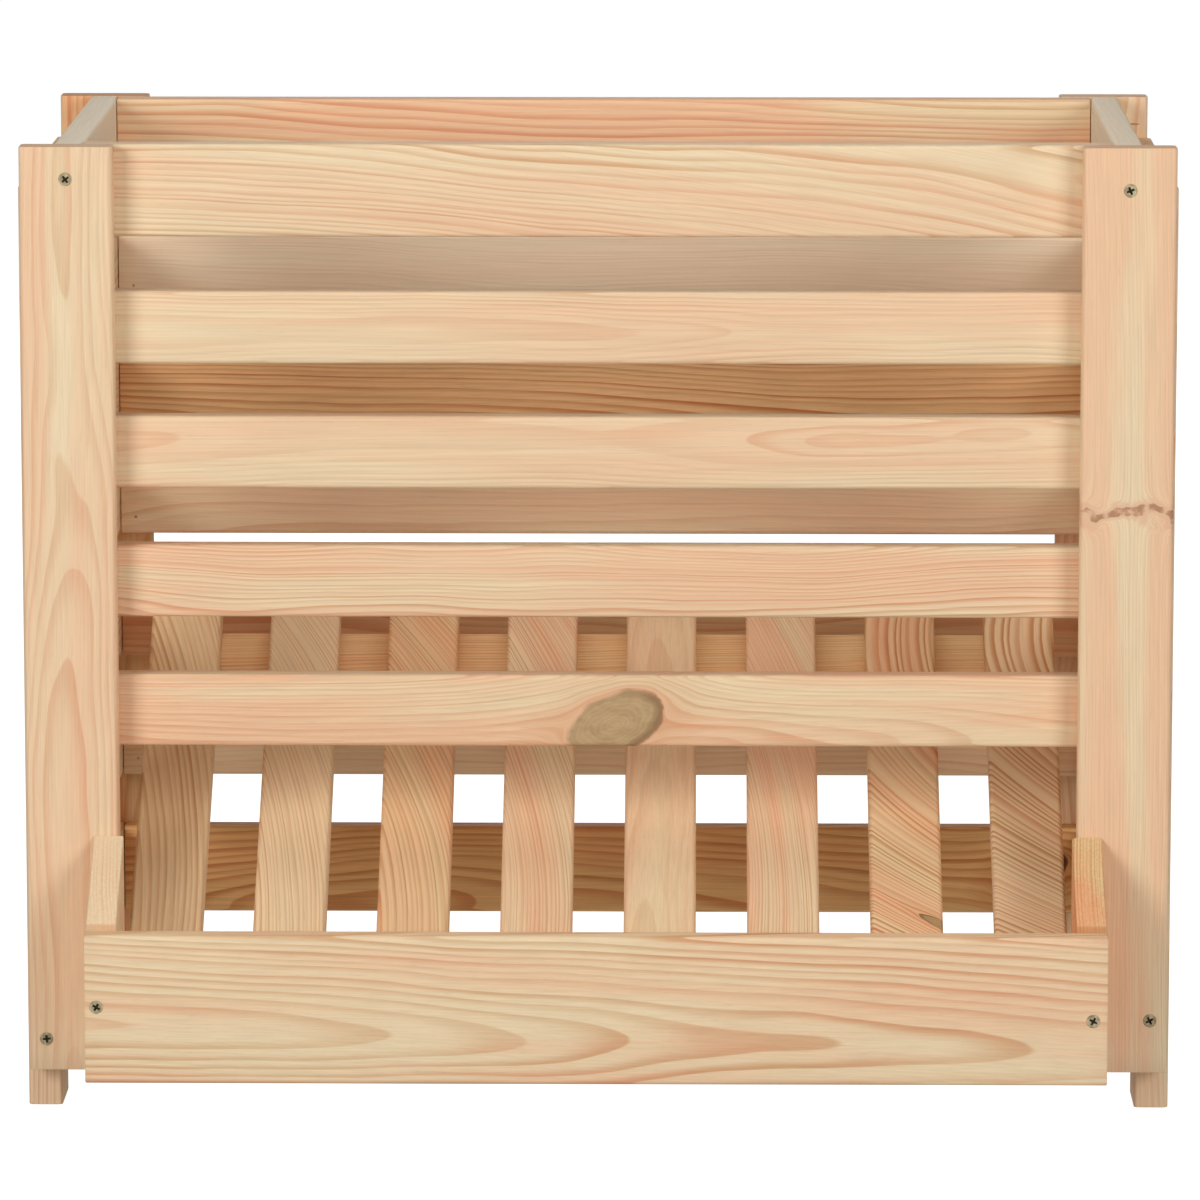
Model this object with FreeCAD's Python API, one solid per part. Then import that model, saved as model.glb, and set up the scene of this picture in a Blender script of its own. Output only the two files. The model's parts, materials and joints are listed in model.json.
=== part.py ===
import FreeCAD, Part
import math
import os

# Hay rack feeder of planed pine boards: an open crate of slatted panels with a
# sloping slatted rack inside and a feeding trough across the foot of the front.
# Millimetres. +X right, +Y to the back, +Z up. The origin is on the ground, in
# the middle of the feeder's width and of its depth.

Vector = FreeCAD.Vector

# Board stock
board_thickness = 18.0
slat_width = 44.0
wide_width = 56.0          # stiles and rails
leg_thickness = 21.0       # along X
leg_depth = 45.0           # along Y
trough_board_width = 90.0
arris_radius = 3.0         # rounding of every planed long edge
cut_edge_radius = 1.0      # softened edges of the shaped trough sides

# Overall sizes
frame_width = 690.0        # over the stiles
panel_height = 562.0       # stiles and legs are cut to the same length
foot_height = 26.0         # how far the legs stand below the stiles
side_length = 292.0        # side boards, from front stile to back stile
leg_proud = 2.0            # how far the legs stand out beyond the stiles

# Gaps between boards, from the top rail down
front_gaps = (32.5, 31.5, 34.5, 35.0)
back_gaps = (30.0, 30.0, 30.5, 35.0, 33.5, 33.5)
end_gap = 0.4              # from the end of a cross board to the side panel

# Sloping rack
rack_slat_count = 8
rack_side_gap = 1.5        # from the outer rack slats to the trough sides
rack_slope = 35.0          # degrees above the horizontal
rack_height_at_front = 101.0   # top face of the rack above ground, at the stiles' front faces
rack_end_gap = 0.5         # from the rack's ends to the trough board and the back boards
batten_drop = 50.0         # from the rack's upper end, along the slope, to the upper batten
rail_seat_gap = 0.05

# Trough
trough_lap = 15.0          # how far a trough side laps onto its stile
trough_depth = 68.0        # inside, from the stiles to the front board
trough_bottom = 37.0
trough_side_rise = 134.0   # height of a trough side at the stile
trough_side_front = 93.5   # height of a trough side at the front board

# Fasteners
screw_head_diameter = 8.0
screw_head_height = 2.4
screw_shank_diameter = 4.0
screw_length = 50.0
trough_side_screw_length = 35.0
screw_tip = 4.0
recess_span = 4.4
recess_slot = 1.0
recess_depth = 1.8
top_screw_drops = {"left": 19.5, "right": 25.5}       # below the panel's top
leg_screw_heights = {"left": 45.0, "right": 58.0}     # above the ground
leg_screw_inset = 11.0                                # from the stile's outer edge
trough_screw_heights = {"left": 83.5, "right": 76.5}
trough_screw_insets = {"left": 7.0, "right": 8.5}     # from the trough's outer faces
trough_side_screw_heights = (112.0, 150.0)
brad_length = 30.0
brad_diameter = 1.3
brad_head_diameter = 2.2
brad_head_height = 0.6
fastener_clearance = 0.1

# Places worked out from the sizes above
panel_top = foot_height + panel_height
frame_depth = side_length + 2 * board_thickness
overall_depth = frame_depth + trough_depth + board_thickness
front_y = -overall_depth / 2 + trough_depth + board_thickness   # front faces of the front stiles
front_board_y = front_y + board_thickness                       # front faces of the front slats
back_stile_y = front_board_y + side_length
back_board_y = back_stile_y - board_thickness                   # front faces of the back slats
back_y = back_stile_y + board_thickness
leg_outer_x = frame_width / 2 + leg_proud
side_outer_x = leg_outer_x - leg_thickness
side_inner_x = side_outer_x - board_thickness
cross_length = 2 * (side_inner_x - end_gap)
stile_inner_x = frame_width / 2 - wide_width
nail_x = (stile_inner_x + cross_length / 2) / 2                 # middle of the lap on the stile
trough_outer_x = stile_inner_x + trough_lap
trough_inner_x = trough_outer_x - board_thickness
rack_half_width = trough_inner_x - rack_side_gap
rack_pitch = (2 * rack_half_width - slat_width) / (rack_slat_count - 1)

SIDES = {"left": -1, "right": 1}
solids = {}
holes = {}


def block(x, y, z):
    """A square-edged box from three (low, high) pairs."""
    size = [max(pair) - min(pair) for pair in (x, y, z)]
    return Part.makeBox(size[0], size[1], size[2], Vector(min(x), min(y), min(z)))


def planed_board(x, y, z):
    """A board whose four longest edges are rounded off."""
    board = block(x, y, z)
    length = max(board.BoundBox.XLength, board.BoundBox.YLength, board.BoundBox.ZLength)
    long_edges = [edge for edge in board.Edges if abs(edge.Length - length) < 1e-6]
    return board.makeFillet(arris_radius, long_edges)


def placed(shape, place):
    """A copy of a shape, moved to a place."""
    moved = shape.copy()
    moved.Placement = place.multiply(shape.Placement)
    return moved


def board_heights(gaps, bottom_rail):
    """(low, high) of each board of a panel, from the top rail down."""
    heights = [(panel_top - wide_width, panel_top)]
    for index, gap in enumerate(gaps):
        last = index == len(gaps) - 1
        width = wide_width if bottom_rail and last else slat_width
        top = heights[-1][0] - gap
        heights.append((top - width, top))
    return heights


def panel_names(prefix, gaps, bottom_rail):
    """Names of a panel's cross boards, from the top rail down."""
    slats = len(gaps) - 1 if bottom_rail else len(gaps)
    names = [prefix + "_top_rail"]
    names += ["%s_slat_%d" % (prefix, number) for number in range(1, slats + 1)]
    if bottom_rail:
        names.append(prefix + "_bottom_rail")
    return names


def rack_top_height(y):
    """Height of the rack's top face at a given depth."""
    return rack_height_at_front + (y - front_y) * math.tan(math.radians(rack_slope))


def rack_underside_height(y):
    return rack_top_height(y) - board_thickness / math.cos(math.radians(rack_slope))


def make_stiles():
    z = (foot_height, panel_top)
    for side, sign in SIDES.items():
        x = (sign * stile_inner_x, sign * frame_width / 2)
        solids["front_stile_" + side] = planed_board(x, (front_y, front_board_y), z)
        solids["back_stile_" + side] = planed_board(x, (back_stile_y, back_y), z)


def make_cross_boards():
    """Rails and slats of the front and the back, nailed to the stiles' inner faces."""
    x = (-cross_length / 2, cross_length / 2)
    y = (front_board_y, front_board_y + board_thickness)
    for name, z in zip(panel_names("front", front_gaps, False), board_heights(front_gaps, False)):
        solids[name] = planed_board(x, y, z)
    y = (back_board_y, back_stile_y)
    for name, z in zip(panel_names("back", back_gaps, True), board_heights(back_gaps, True)):
        solids[name] = planed_board(x, y, z)


def make_support_rail():
    """Low front rail whose rounded top edge carries the sloping rack; gives its (low, high)."""
    arris_y = front_board_y + arris_radius
    slope = math.radians(rack_slope)
    reach = (arris_radius + rail_seat_gap) / math.cos(slope)
    top = rack_underside_height(arris_y) - reach + arris_radius
    x = (-cross_length / 2, cross_length / 2)
    y = (front_board_y, front_board_y + board_thickness)
    solids["front_support_rail"] = planed_board(x, y, (top - wide_width, top))
    return (top - wide_width, top)


def make_side_panels():
    """Legs outside, boards nailed to their inner faces between the stiles."""
    front_leg = (front_board_y, front_board_y + leg_depth)
    back_leg = (back_stile_y - leg_depth, back_stile_y)
    for side, sign in SIDES.items():
        leg_x = (sign * side_outer_x, sign * leg_outer_x)
        solids[side + "_front_leg"] = planed_board(leg_x, front_leg, (0.0, panel_height))
        solids[side + "_back_leg"] = planed_board(leg_x, back_leg, (0.0, panel_height))
        board_x = (sign * side_inner_x, sign * side_outer_x)
        names = panel_names(side + "_side", back_gaps, True)
        for name, z in zip(names, board_heights(back_gaps, True)):
            solids[name] = planed_board(board_x, (front_board_y, back_stile_y), z)


def rack_placement():
    """From the rack's own frame to the feeder: x across, y up the slope, z off its top face."""
    slope = math.radians(rack_slope)
    low_y = front_y - trough_depth + rack_end_gap
    origin = Vector(0, low_y, rack_top_height(low_y))
    return FreeCAD.Placement(origin, FreeCAD.Rotation(Vector(1, 0, 0), math.degrees(slope)))


def rack_length():
    """The slats run from the trough board to the back boards."""
    slope = math.radians(rack_slope)
    run = back_board_y - (front_y - trough_depth) - 2 * rack_end_gap
    return (run - board_thickness * math.sin(slope)) / math.cos(slope)


def rack_slat_centres():
    return [(index - (rack_slat_count - 1) / 2) * rack_pitch for index in range(rack_slat_count)]


def batten_rows():
    """(low, high) of the two battens along the slope, in the rack's own frame."""
    slope = math.radians(rack_slope)
    rail_front = (trough_depth + board_thickness - 2 * rack_end_gap) / math.cos(slope)
    lower_top = rail_front - 2 * board_thickness * math.tan(slope)
    upper_top = rack_length() - batten_drop
    return {"lower": (lower_top - slat_width, lower_top), "upper": (upper_top - slat_width, upper_top)}


def make_rack():
    place = rack_placement()
    for number, centre in enumerate(rack_slat_centres(), 1):
        x = (centre - slat_width / 2, centre + slat_width / 2)
        slat = planed_board(x, (0.0, rack_length()), (-board_thickness, 0.0))
        solids["rack_slat_%d" % number] = placed(slat, place)
    for row, y in batten_rows().items():
        z = (-2 * board_thickness, -board_thickness)
        batten = planed_board((-rack_half_width, rack_half_width), y, z)
        solids["rack_batten_" + row] = placed(batten, place)


def make_trough():
    """Two shaped sides on the stiles' front faces, and a front board over their ends."""
    front = front_y - trough_depth
    outline = [Vector(0, front_y, trough_bottom),
               Vector(0, front_y, trough_bottom + trough_side_rise),
               Vector(0, front, trough_bottom + trough_side_front),
               Vector(0, front, trough_bottom)]
    face = Part.Face(Part.makePolygon(outline + outline[:1]))
    for side, sign in SIDES.items():
        cheek = face.extrude(Vector(board_thickness, 0, 0))
        cheek.translate(Vector(min(sign * trough_inner_x, sign * trough_outer_x), 0, 0))
        top_edges = [edge for edge in cheek.Edges if lies_on_sloping_top(edge, front)]
        solids["trough_side_" + side] = cheek.makeFillet(cut_edge_radius, top_edges)
    x = (-trough_outer_x, trough_outer_x)
    z = (trough_bottom, trough_bottom + trough_board_width)
    solids["trough_front_board"] = planed_board(x, (front - board_thickness, front), z)


def lies_on_sloping_top(edge, front):
    """True for the two long edges of a trough side's sloping top."""
    ends = [vertex.Point for vertex in edge.Vertexes]
    runs_back = abs(ends[0].y - ends[1].y) > trough_depth / 2
    return runs_back and min(end.z for end in ends) > trough_bottom


def screw_body(length, clearance=0.0):
    """A countersunk screw pointing down -Z from its head's flat face at the origin."""
    shank = screw_shank_diameter / 2 + clearance
    head = Part.makeCone(shank, screw_head_diameter / 2, screw_head_height,
                         Vector(0, 0, -screw_head_height))
    rod = Part.makeCylinder(shank, length - screw_tip, Vector(0, 0, screw_tip - length))
    tip = Part.makeCone(clearance, shank, screw_tip, Vector(0, 0, -length))
    return head.fuse([rod, tip]).removeSplitter()


def cross_recess():
    """Cross-shaped driver recess, cut from the head's face."""
    bars = []
    for turn in (0, 90):
        bar = Part.makeBox(recess_span, recess_slot, recess_depth,
                           Vector(-recess_span / 2, -recess_slot / 2, -recess_depth))
        bar.rotate(Vector(0, 0, 0), Vector(0, 0, 1), turn)
        bars.append(bar)
    return bars[0].fuse(bars[1])


def brad_body(clearance=0.0):
    """A headed brad pointing down -Z from its head's flat face at the origin."""
    head = Part.makeCylinder(brad_head_diameter / 2, brad_head_height, Vector(0, 0, -brad_head_height))
    shank = Part.makeCylinder(brad_diameter / 2 + clearance, brad_length, Vector(0, 0, -brad_length))
    return head.fuse(shank).removeSplitter()


def drive(group, body, hole, head, outward, boards):
    """Set one fastener with its head at a point, and bore the boards that it passes."""
    turn = FreeCAD.Rotation(Vector(0, 0, 1), outward)
    place = FreeCAD.Placement(head, turn)
    solids.setdefault(group, []).append(placed(body, place))
    for board in boards:
        holes.setdefault(board, []).append(placed(hole, place))


def drive_screw(group, length, head, outward, boards):
    body = screw_body(length).cut(cross_recess())
    drive(group, body, screw_body(length, fastener_clearance), head, outward, boards)


def drive_brad(group, head, outward, boards):
    drive(group, brad_body(), brad_body(fastener_clearance / 2), head, outward, boards)


def fix_panels_together():
    """Screws through the stiles into the side top rails and into the legs."""
    leg_x = frame_width / 2 - leg_screw_inset
    rail_x = (side_inner_x + side_outer_x) / 2
    for side, sign in SIDES.items():
        for end, face_y, facing in (("front", front_y, -1), ("back", back_y, 1)):
            outward = Vector(0, facing, 0)
            group = end + "_panel_screws"
            stile = "%s_stile_%s" % (end, side)
            top = Vector(sign * rail_x, face_y, panel_top - top_screw_drops[side])
            drive_screw(group, screw_length, top, outward, (stile, side + "_side_top_rail"))
            foot = Vector(sign * leg_x, face_y, leg_screw_heights[side])
            drive_screw(group, screw_length, foot, outward, (stile, "%s_%s_leg" % (side, end)))


def fix_trough():
    """Screws through the front board into the sides, and through the stiles from inside."""
    rear_x = (stile_inner_x + trough_outer_x) / 2
    for side, sign in SIDES.items():
        cheek = "trough_side_" + side
        face_y = front_y - trough_depth - board_thickness
        front_x = trough_outer_x - trough_screw_insets[side]
        head = Vector(sign * front_x, face_y, trough_screw_heights[side])
        boards = ("trough_front_board", cheek)
        drive_screw("trough_front_screws", screw_length, head, Vector(0, -1, 0), boards)
        for height in trough_side_screw_heights:
            head = Vector(sign * rear_x, front_board_y, height)
            boards = ("front_stile_" + side, cheek)
            drive_screw("trough_side_screws", trough_side_screw_length, head, Vector(0, 1, 0), boards)


def quarter_heights(low, high):
    """The two nailing heights of a board, a quarter of its width in from each edge."""
    quarter = (high - low) / 4
    return (low + quarter, high - quarter)


def nail_cross_board(end, board, heights):
    """Two brads at each end of a board, driven from inside the feeder into the stile."""
    inner_y = front_board_y + board_thickness if end == "front" else back_board_y
    inward = Vector(0, 1 if end == "front" else -1, 0)
    for side, sign in SIDES.items():
        for height in quarter_heights(*heights):
            head = Vector(sign * nail_x, inner_y, height)
            drive_brad(end + "_panel_brads", head, inward, (board, "%s_stile_%s" % (end, side)))


def nail_front_and_back(support_rail_heights):
    for board, heights in zip(panel_names("front", front_gaps, False), board_heights(front_gaps, False)):
        nail_cross_board("front", board, heights)
    nail_cross_board("front", "front_support_rail", support_rail_heights)
    for board, heights in zip(panel_names("back", back_gaps, True), board_heights(back_gaps, True)):
        nail_cross_board("back", board, heights)


def nail_side_panels():
    """Two brads into each leg, clear of the front and back boards' ends."""
    front_nail_y = front_board_y + (board_thickness + leg_depth) / 2
    back_nail_y = back_stile_y - (board_thickness + leg_depth) / 2
    for side, sign in SIDES.items():
        names = panel_names(side + "_side", back_gaps, True)
        for board, heights in zip(names, board_heights(back_gaps, True)):
            for end, nail_y in (("front", front_nail_y), ("back", back_nail_y)):
                for height in quarter_heights(*heights):
                    head = Vector(sign * side_inner_x, nail_y, height)
                    boards = (board, "%s_%s_leg" % (side, end))
                    drive_brad(side + "_side_brads", head, Vector(-sign, 0, 0), boards)


def nail_rack():
    """Brads from under the battens up into the slats."""
    place = rack_placement()
    downward = place.Rotation.multVec(Vector(0, 0, -1))
    for row, (low, high) in batten_rows().items():
        for number, centre in enumerate(rack_slat_centres(), 1):
            for offset in (-slat_width / 4, slat_width / 4):
                head = place.multVec(Vector(centre + offset, (low + high) / 2, -2 * board_thickness))
                boards = ("rack_batten_" + row, "rack_slat_%d" % number)
                drive_brad("rack_brads", head, downward, boards)


def bore_boards():
    for board, tools in holes.items():
        solids[board] = solids[board].cut(tools)


def write_parts():
    os.makedirs("parts", exist_ok=True)
    for name, shape in solids.items():
        whole = Part.makeCompound(shape) if isinstance(shape, list) else shape.Solids[0]
        whole.exportStep("parts/%s.step" % name)


make_stiles()
make_cross_boards()
support_rail_heights = make_support_rail()
make_side_panels()
make_rack()
make_trough()
fix_panels_together()
fix_trough()
nail_front_and_back(support_rail_heights)
nail_side_panels()
nail_rack()
bore_boards()
write_parts()
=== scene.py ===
import json
import math
import random

import bmesh
import bpy
import numpy as np
from mathutils import Matrix, Vector


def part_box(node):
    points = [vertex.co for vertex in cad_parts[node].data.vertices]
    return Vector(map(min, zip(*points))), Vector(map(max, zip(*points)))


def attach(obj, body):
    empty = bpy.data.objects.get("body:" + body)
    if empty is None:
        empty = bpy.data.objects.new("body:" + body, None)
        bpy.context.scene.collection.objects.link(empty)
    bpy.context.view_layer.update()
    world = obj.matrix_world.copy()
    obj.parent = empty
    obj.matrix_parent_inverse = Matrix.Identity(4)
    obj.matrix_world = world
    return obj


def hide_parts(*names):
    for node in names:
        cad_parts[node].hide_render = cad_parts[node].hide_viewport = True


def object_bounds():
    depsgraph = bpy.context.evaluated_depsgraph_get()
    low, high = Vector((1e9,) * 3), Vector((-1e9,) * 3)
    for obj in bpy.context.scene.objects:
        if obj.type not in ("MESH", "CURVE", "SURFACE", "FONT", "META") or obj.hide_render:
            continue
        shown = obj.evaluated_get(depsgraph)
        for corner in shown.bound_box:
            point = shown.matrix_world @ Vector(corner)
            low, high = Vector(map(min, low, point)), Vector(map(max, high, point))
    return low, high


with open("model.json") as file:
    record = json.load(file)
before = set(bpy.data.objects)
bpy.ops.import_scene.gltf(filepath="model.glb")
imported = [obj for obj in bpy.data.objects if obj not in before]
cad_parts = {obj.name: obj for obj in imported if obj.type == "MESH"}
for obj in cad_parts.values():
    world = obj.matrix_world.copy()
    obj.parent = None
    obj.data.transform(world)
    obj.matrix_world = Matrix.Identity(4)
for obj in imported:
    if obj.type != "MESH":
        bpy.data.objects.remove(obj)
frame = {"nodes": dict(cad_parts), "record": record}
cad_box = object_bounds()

# A hay rack feeder of planed pine: crate, sloping rack and trough, screwed and
# bradded together. Metres, with the ground at z = 0 and the front facing -Y.

MM = 0.001
ARRIS = 3.0 * MM             # rounding of the planed edges
CHEEK_ARRIS = 1.0 * MM
END_SOFTENING = 0.5 * MM     # the saw-cut ends are broken by hand
HAND_PLANING = 0.25 * MM     # how far a face may dip below its nominal plane
SECTION_STEP = 12.0 * MM     # between a board's sections along its length
RACK_SLOPE = math.radians(35.0)

SCREW_HEAD_RADIUS = 4.0 * MM
SCREW_HEAD_HEIGHT = 2.4 * MM
SCREW_SHANK_RADIUS = 2.0 * MM
SCREW_CORE_RADIUS = 1.35 * MM
THREAD_PITCH = 2.0 * MM
SCREW_SINK = 0.35 * MM       # how far a screw head lies below the wood
BRAD_SINK = 0.14 * MM
SINK_MARGIN = 0.35 * MM      # crushed wood round a screw head

# Studio: softbox powers in watts, the rest as strengths.
LEFT_POWER = 66.0
RIGHT_POWER = 53.0
OVERHEAD_POWER = 15.0
REAR_POWER = 15.0
AMBIENT = 0.03
GROUND_BOUNCE = 0.42
FLOOR_GLOW = 0.985

CAMERA_PLACE = (0.058, -4.672, 1.068)
CAMERA_LENS = 230.6          # millimetres, on a sensor 36 wide
AIM_ABOVE_CENTRE = 1.5 * MM
FLOOR_REACH = 30.0

UP = Vector((0.0, 0.0, 1.0))
RIGHT = Vector((1.0, 0.0, 0.0))
BACK = Vector((0.0, 1.0, 0.0))
UPHILL = Vector((0.0, math.cos(RACK_SLOPE), math.sin(RACK_SLOPE)))


# ---------------------------------------------------------------- node trees

class Bench:
    """Shorthand for laying out nodes in a shader or geometry tree."""

    def __init__(self, tree):
        self.tree = tree

    def add(self, kind, settings=None, **sockets):
        node = self.tree.nodes.new(kind)
        for name, value in (settings or {}).items():
            setattr(node, name, value)
        for name, value in sockets.items():
            self.feed(node.inputs[name.replace("_", " ")], value)
        return node

    def feed(self, socket, value):
        if isinstance(value, bpy.types.NodeSocket):
            self.tree.links.new(value, socket)
        elif value is not None:
            socket.default_value = value

    def math(self, operation, a, b=None, c=None):
        node = self.add("ShaderNodeMath", {"operation": operation})
        for socket, value in zip(node.inputs, (a, b, c)):
            self.feed(socket, value)
        return node.outputs[0]

    def vector(self, operation, a, b=None):
        node = self.add("ShaderNodeVectorMath", {"operation": operation})
        self.feed(node.inputs[0], a)
        if operation == "SCALE":
            self.feed(node.inputs["Scale"], b)
        else:
            self.feed(node.inputs[1], b)
        is_number = operation in ("LENGTH", "DOT_PRODUCT", "DISTANCE")
        return node.outputs["Value" if is_number else "Vector"]

    def split(self, vector):
        node = self.add("ShaderNodeSeparateXYZ")
        self.feed(node.inputs[0], vector)
        return node.outputs

    def join(self, x, y, z):
        node = self.add("ShaderNodeCombineXYZ")
        for socket, value in zip(node.inputs, (x, y, z)):
            self.feed(socket, value)
        return node.outputs[0]

    def noise(self, vector, stretch, detail=2.0, roughness=0.5):
        """Noise stretched by different amounts along the three axes."""
        spread = self.vector("MULTIPLY", vector, stretch)
        return self.add("ShaderNodeTexNoise", Vector=spread, Scale=1.0, Detail=detail, Roughness=roughness)

    def ramp(self, factor, low, high, to_low=0.0, to_high=1.0):
        """A smooth step from one value to another."""
        node = self.add("ShaderNodeMapRange", {"interpolation_type": "SMOOTHSTEP"})
        for socket, value in zip(node.inputs, (factor, low, high, to_low, to_high)):
            self.feed(socket, value)
        return node.outputs[0]

    def blend(self, factor, a, b, how="MIX"):
        node = self.add("ShaderNodeMix", {"data_type": "RGBA", "blend_type": how})
        self.feed(node.inputs[0], factor)
        self.feed(node.inputs[6], a)
        self.feed(node.inputs[7], b)
        return node.outputs[2]


def rgb(red, green, blue):
    """A colour given in 0 to 255, as the shader wants it."""
    def linear(value):
        value /= 255.0
        return value / 12.92 if value <= 0.04045 else ((value + 0.055) / 1.055) ** 2.4
    return (linear(red), linear(green), linear(blue), 1.0)


# ------------------------------------------------------------------ materials

def pine_material():
    """Planed pine. The growth rings are cylinders round the log's pith, so a face, an edge
    and an end of one board show the same rings. Each board carries its place in the log."""
    material = bpy.data.materials.new("planed_pine")
    material.use_nodes = True
    tree = material.node_tree
    tree.nodes.clear()
    b = Bench(tree)

    def carried(name):
        return b.add("ShaderNodeAttribute", {"attribute_name": name}).outputs["Vector"]

    x, y, z = b.split(carried("grain"))
    knot_x, knot_y, knot_radius = b.split(carried("knot"))
    contrast, warmth, spacing = b.split(carried("tone"))
    depth, figure, knot_stretch = b.split(carried("look"))

    # Fibres part round a knot like water round a post.
    wobble = b.noise(b.join(x, y, z), (60.0, 60.0, 60.0), 2.0).outputs["Fac"]
    wander_of_knot = b.ramp(knot_stretch, 2.0, 8.0, 0.008, 0.030)
    wobble = b.math("MULTIPLY", b.math("SUBTRACT", wobble, 0.5), wander_of_knot)
    along = b.math("MULTIPLY", b.math("ADD", b.math("SUBTRACT", x, knot_x), wobble), knot_stretch)
    across = b.math("SUBTRACT", y, knot_y)
    is_round = b.ramp(knot_stretch, 2.0, 8.0, 1.0, 0.0)
    along = b.math("SUBTRACT", along, b.math("MULTIPLY", b.math("MULTIPLY", across, 0.4), is_round))
    square = b.math("ADD", b.math("MULTIPLY", along, along), b.math("MULTIPLY", across, across))
    radius_square = b.math("ADD", b.math("MULTIPLY", knot_radius, knot_radius), 1e-9)
    parting = b.math("DIVIDE", radius_square, b.math("MAXIMUM", square, radius_square))
    parted = b.math("MULTIPLY", across, b.math("SUBTRACT", 1.0, parting))
    in_log = b.join(x, b.math("ADD", knot_y, parted), z)

    # A log is never straight: its pith wanders, and so do its rings.
    wander = b.noise(in_log, (3.2, 9.0, 9.0), 1.5).outputs["Color"]
    wander = b.vector("SUBTRACT", wander, (0.5, 0.5, 0.5))
    wander = b.vector("SCALE", wander, b.math("MULTIPLY", figure, 0.020))
    ripple = b.noise(in_log, (13.0, 50.0, 50.0), 1.0).outputs["Fac"]
    off_pith = b.vector("MULTIPLY", b.vector("ADD", in_log, wander), (0.0, 1.0, 1.0))
    ripple = b.math("MULTIPLY", b.math("MULTIPLY", ripple, figure), 0.0018)
    radius = b.math("ADD", b.vector("LENGTH", off_pith), ripple)
    years = b.math("DIVIDE", radius, spacing)
    uneven = b.add("ShaderNodeTexNoise", {"noise_dimensions": "1D"}, W=years, Scale=0.31, Detail=1.0)
    years = b.math("ADD", years, b.math("MULTIPLY", uneven.outputs["Fac"], 2.0))
    season = b.math("FRACT", years)
    summer = b.math("MULTIPLY", b.ramp(season, 0.30, 0.90), b.ramp(season, 1.0, 0.93))
    year = b.add("ShaderNodeTexWhiteNoise", {"noise_dimensions": "1D"}, W=b.math("FLOOR", years))
    strength = b.math("ADD", 0.40, b.math("MULTIPLY", year.outputs["Value"], 0.75))
    patch = b.noise(in_log, (4.0, 26.0, 26.0), 2.0).outputs["Fac"]
    strength = b.math("MULTIPLY", strength, b.ramp(patch, 0.25, 0.7, 0.45, 1.15))
    latewood = b.math("MULTIPLY", b.math("MULTIPLY", summer, strength), contrast)

    # Colour: cream earlywood, tan latewood, and broad pinkish streaks.
    blush = b.noise(in_log, (3.0, 45.0, 45.0), 3.0).outputs["Fac"]
    blush = b.math("MULTIPLY", b.ramp(blush, 0.30, 0.68), warmth)
    cream = b.blend(blush, rgb(243, 219, 180), rgb(244, 202, 163))
    tan = b.blend(blush, rgb(212, 164, 114), rgb(226, 152, 112))
    colour = b.blend(latewood, cream, tan)
    fibre = b.noise(in_log, (14.0, 900.0, 900.0), 2.0).outputs["Fac"]
    pores = b.noise(in_log, (60.0, 2600.0, 2600.0), 1.0).outputs["Fac"]
    streak = b.math("ADD", b.ramp(fibre, 0.2, 0.8, -0.06, 0.05), b.ramp(pores, 0.62, 0.78, 0.0, -0.10))
    shade = b.math("ADD", 1.0, streak)
    colour = b.blend(1.0, colour, b.join(shade, shade, shade), "MULTIPLY")

    # Knots: a round one has a brown core with its own tight rings and a dark right rim, and
    # one that is sawn lengthways, a spike knot, shows as a broken line of flecks in pink wood.
    spot = b.join(x, y, z)
    knot_edge = b.noise(spot, (90.0, 120.0, 90.0), 2.0).outputs["Fac"]
    reach = b.math("DIVIDE", b.math("SQRT", square), b.math("SQRT", radius_square))
    reach = b.math("ADD", reach, b.math("MULTIPLY", b.math("SUBTRACT", knot_edge, 0.5), 0.22))
    core = b.ramp(reach, 1.0, 0.88)
    rim = b.math("MULTIPLY", b.ramp(reach, 0.72, 0.96), b.ramp(reach, 1.06, 0.98))
    right_side = b.ramp(b.math("DIVIDE", along, b.math("ADD", knot_radius, 1e-6)), -0.5, 0.7, 0.2, 0.75)
    rim = b.math("MULTIPLY", b.math("MULTIPLY", rim, is_round), right_side)
    knot_grain = b.noise(spot, (120.0, 240.0, 240.0), 2.0).outputs["Fac"]
    knot_years = b.math("ADD", b.math("MULTIPLY", reach, 8.0), b.math("MULTIPLY", knot_grain, 0.5))
    knot_ring = b.ramp(b.math("FRACT", knot_years), 0.2, 0.9, 0.0, 0.3)
    knot_shade = b.math("ADD", knot_ring, b.ramp(knot_grain, 0.3, 0.7, 0.0, 0.5))
    knot_colour = b.blend(knot_shade, rgb(200, 170, 128), rgb(178, 146, 104))
    knot_colour = b.blend(is_round, rgb(174, 120, 84), knot_colour)
    flecks = b.noise(spot, (170.0, 170.0, 170.0), 3.0).outputs["Fac"]
    core = b.math("MULTIPLY", core, b.math("MAXIMUM", b.ramp(flecks, 0.34, 0.58, 0.1, 1.0), is_round))
    halo = b.ramp(reach, 2.4, 1.0, 0.0, b.ramp(knot_stretch, 2.0, 8.0, 0.30, 0.6))
    has_knot = b.math("GREATER_THAN", knot_radius, 0.0005)
    has_knot = b.math("MULTIPLY", has_knot, b.math("ADD", 0.8, b.math("MULTIPLY", is_round, 0.2)))
    halo_colour = b.blend(is_round, rgb(226, 164, 132), rgb(214, 162, 114))
    colour = b.blend(b.math("MULTIPLY", halo, has_knot), colour, halo_colour)
    colour = b.blend(b.math("MULTIPLY", core, has_knot), colour, knot_colour)
    colour = b.blend(b.math("MULTIPLY", rim, has_knot), colour, rgb(134, 102, 68))

    # End grain drinks in dirt and looks darker.
    end = b.add("ShaderNodeAttribute", {"attribute_name": "end_grain"}).outputs["Fac"]
    colour = b.blend(b.math("MULTIPLY", end, 0.5), colour, rgb(206, 156, 110))
    # Depth darkens a whole board above 1 and lightens it below 1: on some boards this is their own tone, on
    # others painted shade, and on a few painted light.
    colour = b.add("ShaderNodeGamma", Color=colour, Gamma=depth).outputs[0]

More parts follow.
